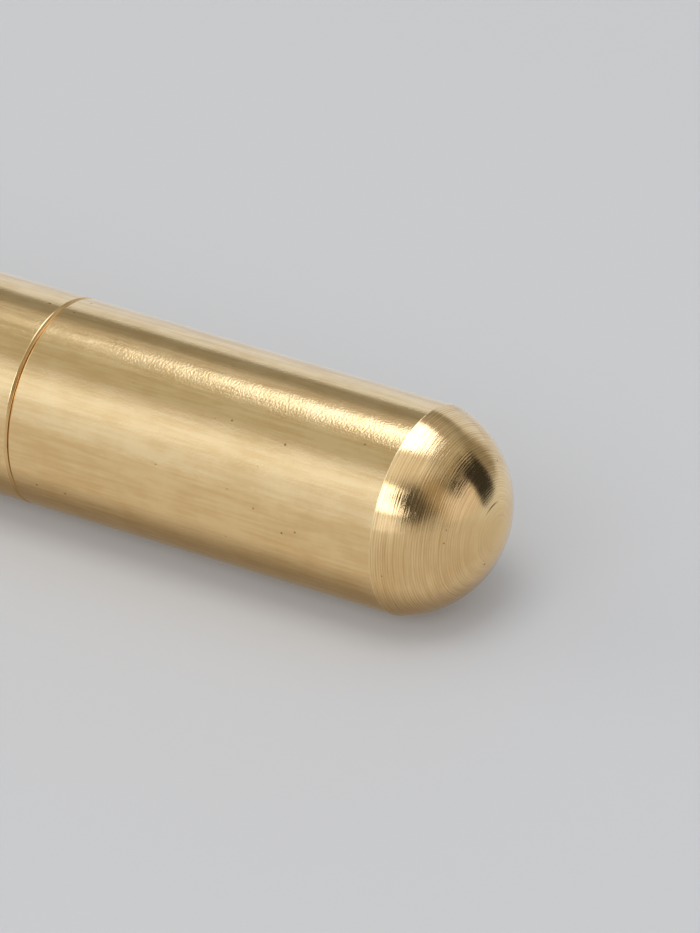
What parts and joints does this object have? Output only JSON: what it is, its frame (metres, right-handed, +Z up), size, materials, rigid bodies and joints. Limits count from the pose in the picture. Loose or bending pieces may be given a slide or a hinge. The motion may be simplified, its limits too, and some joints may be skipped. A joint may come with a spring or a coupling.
{
  "type": "pencil cap",
  "caption": "Round brass pencil cap with a ball end, closed flush on its pocket mechanical pencil; the cap pulls off the writing tip and the rear button feeds the lead.",
  "frame": {"origin": "on the pencil's axis, at the mouth of the cap, where it meets the barrel", "axes": "+X along the axis from the barrel to the pole of the cap's dome, +Z up with the pencil lying on its side, +Y to the side; the pencil lies on z = -6 mm"},
  "size_m": [0.1184, 0.012, 0.012],
  "materials": {
    "drawn_brass": "drawn bar, uncoated satin with fine long scratches; the dome faced on a lathe, with fine circular turning marks",
    "turned_brass": "turned, bright, with fine circular turning marks",
    "clutch_brass": "machined, plain",
    "acetal_liner": "moulded acetal, natural white, matt",
    "black_rubber": "moulded nitrile rubber, satin",
    "grip_rubber": "moulded, dull",
    "stainless_steel": "drawn and polished",
    "spring_steel": "drawn spring wire",
    "graphite": "fired graphite lead, soft sheen",
    "white_eraser": "moulded eraser, chalky"
  },
  "bodies": {
    "barrel": {"barrel_tube": "drawn_brass", "front_section": "turned_brass", "section_lock_ring": "black_rubber", "cap_oring": "black_rubber", "nose_cone": "turned_brass", "lead_sleeve": "stainless_steel", "lead_retainer": "grip_rubber", "clutch_housing": "clutch_brass", "return_spring": "spring_steel", "rear_bush": "turned_brass"},
    "cap": {"cap_shell": "drawn_brass", "cap_liner": "acetal_liner"},
    "pusher": {"clutch_jaws": "clutch_brass", "collet_carrier": "clutch_brass", "lead_tube": "clutch_brass", "spare_leads": "graphite", "eraser_holder": "clutch_brass", "clearing_pin": "stainless_steel", "eraser": "white_eraser"},
    "button": {"push_button": "turned_brass"},
    "clutch_ring": {"clutch_ring": "clutch_brass"},
    "lead": {"writing_lead": "graphite"}
  },
  "joints": [
    {"name": "cap_pull", "type": "slide", "parent": "barrel", "child": "cap", "axis": [1, 0, 0], "range_m": [0, 0.04]},
    {"name": "button_push", "type": "slide", "parent": "barrel", "child": "pusher", "axis": [1, 0, 0], "range_m": [0, 0.0024], "stiffness_N_per_m": 900, "springref_m": -0.003, "deforming": ["return_spring"]},
    {"name": "button_pull", "type": "slide", "parent": "pusher", "child": "button", "axis": [-1, 0, 0], "range_m": [0, 0.01]},
    {"name": "clutch_ring_slide", "type": "slide", "parent": "barrel", "child": "clutch_ring", "axis": [1, 0, 0], "range_m": [0, 0.0006]},
    {"name": "lead_feed", "type": "slide", "parent": "barrel", "child": "lead", "axis": [1, 0, 0], "range_m": [0, 0.0006]}
  ],
  "couplings": [
    {"joint": "clutch_ring_slide", "follows": "button_push", "ratio": 0.25},
    {"joint": "lead_feed", "follows": "button_push", "ratio": 0.25}
  ]
}
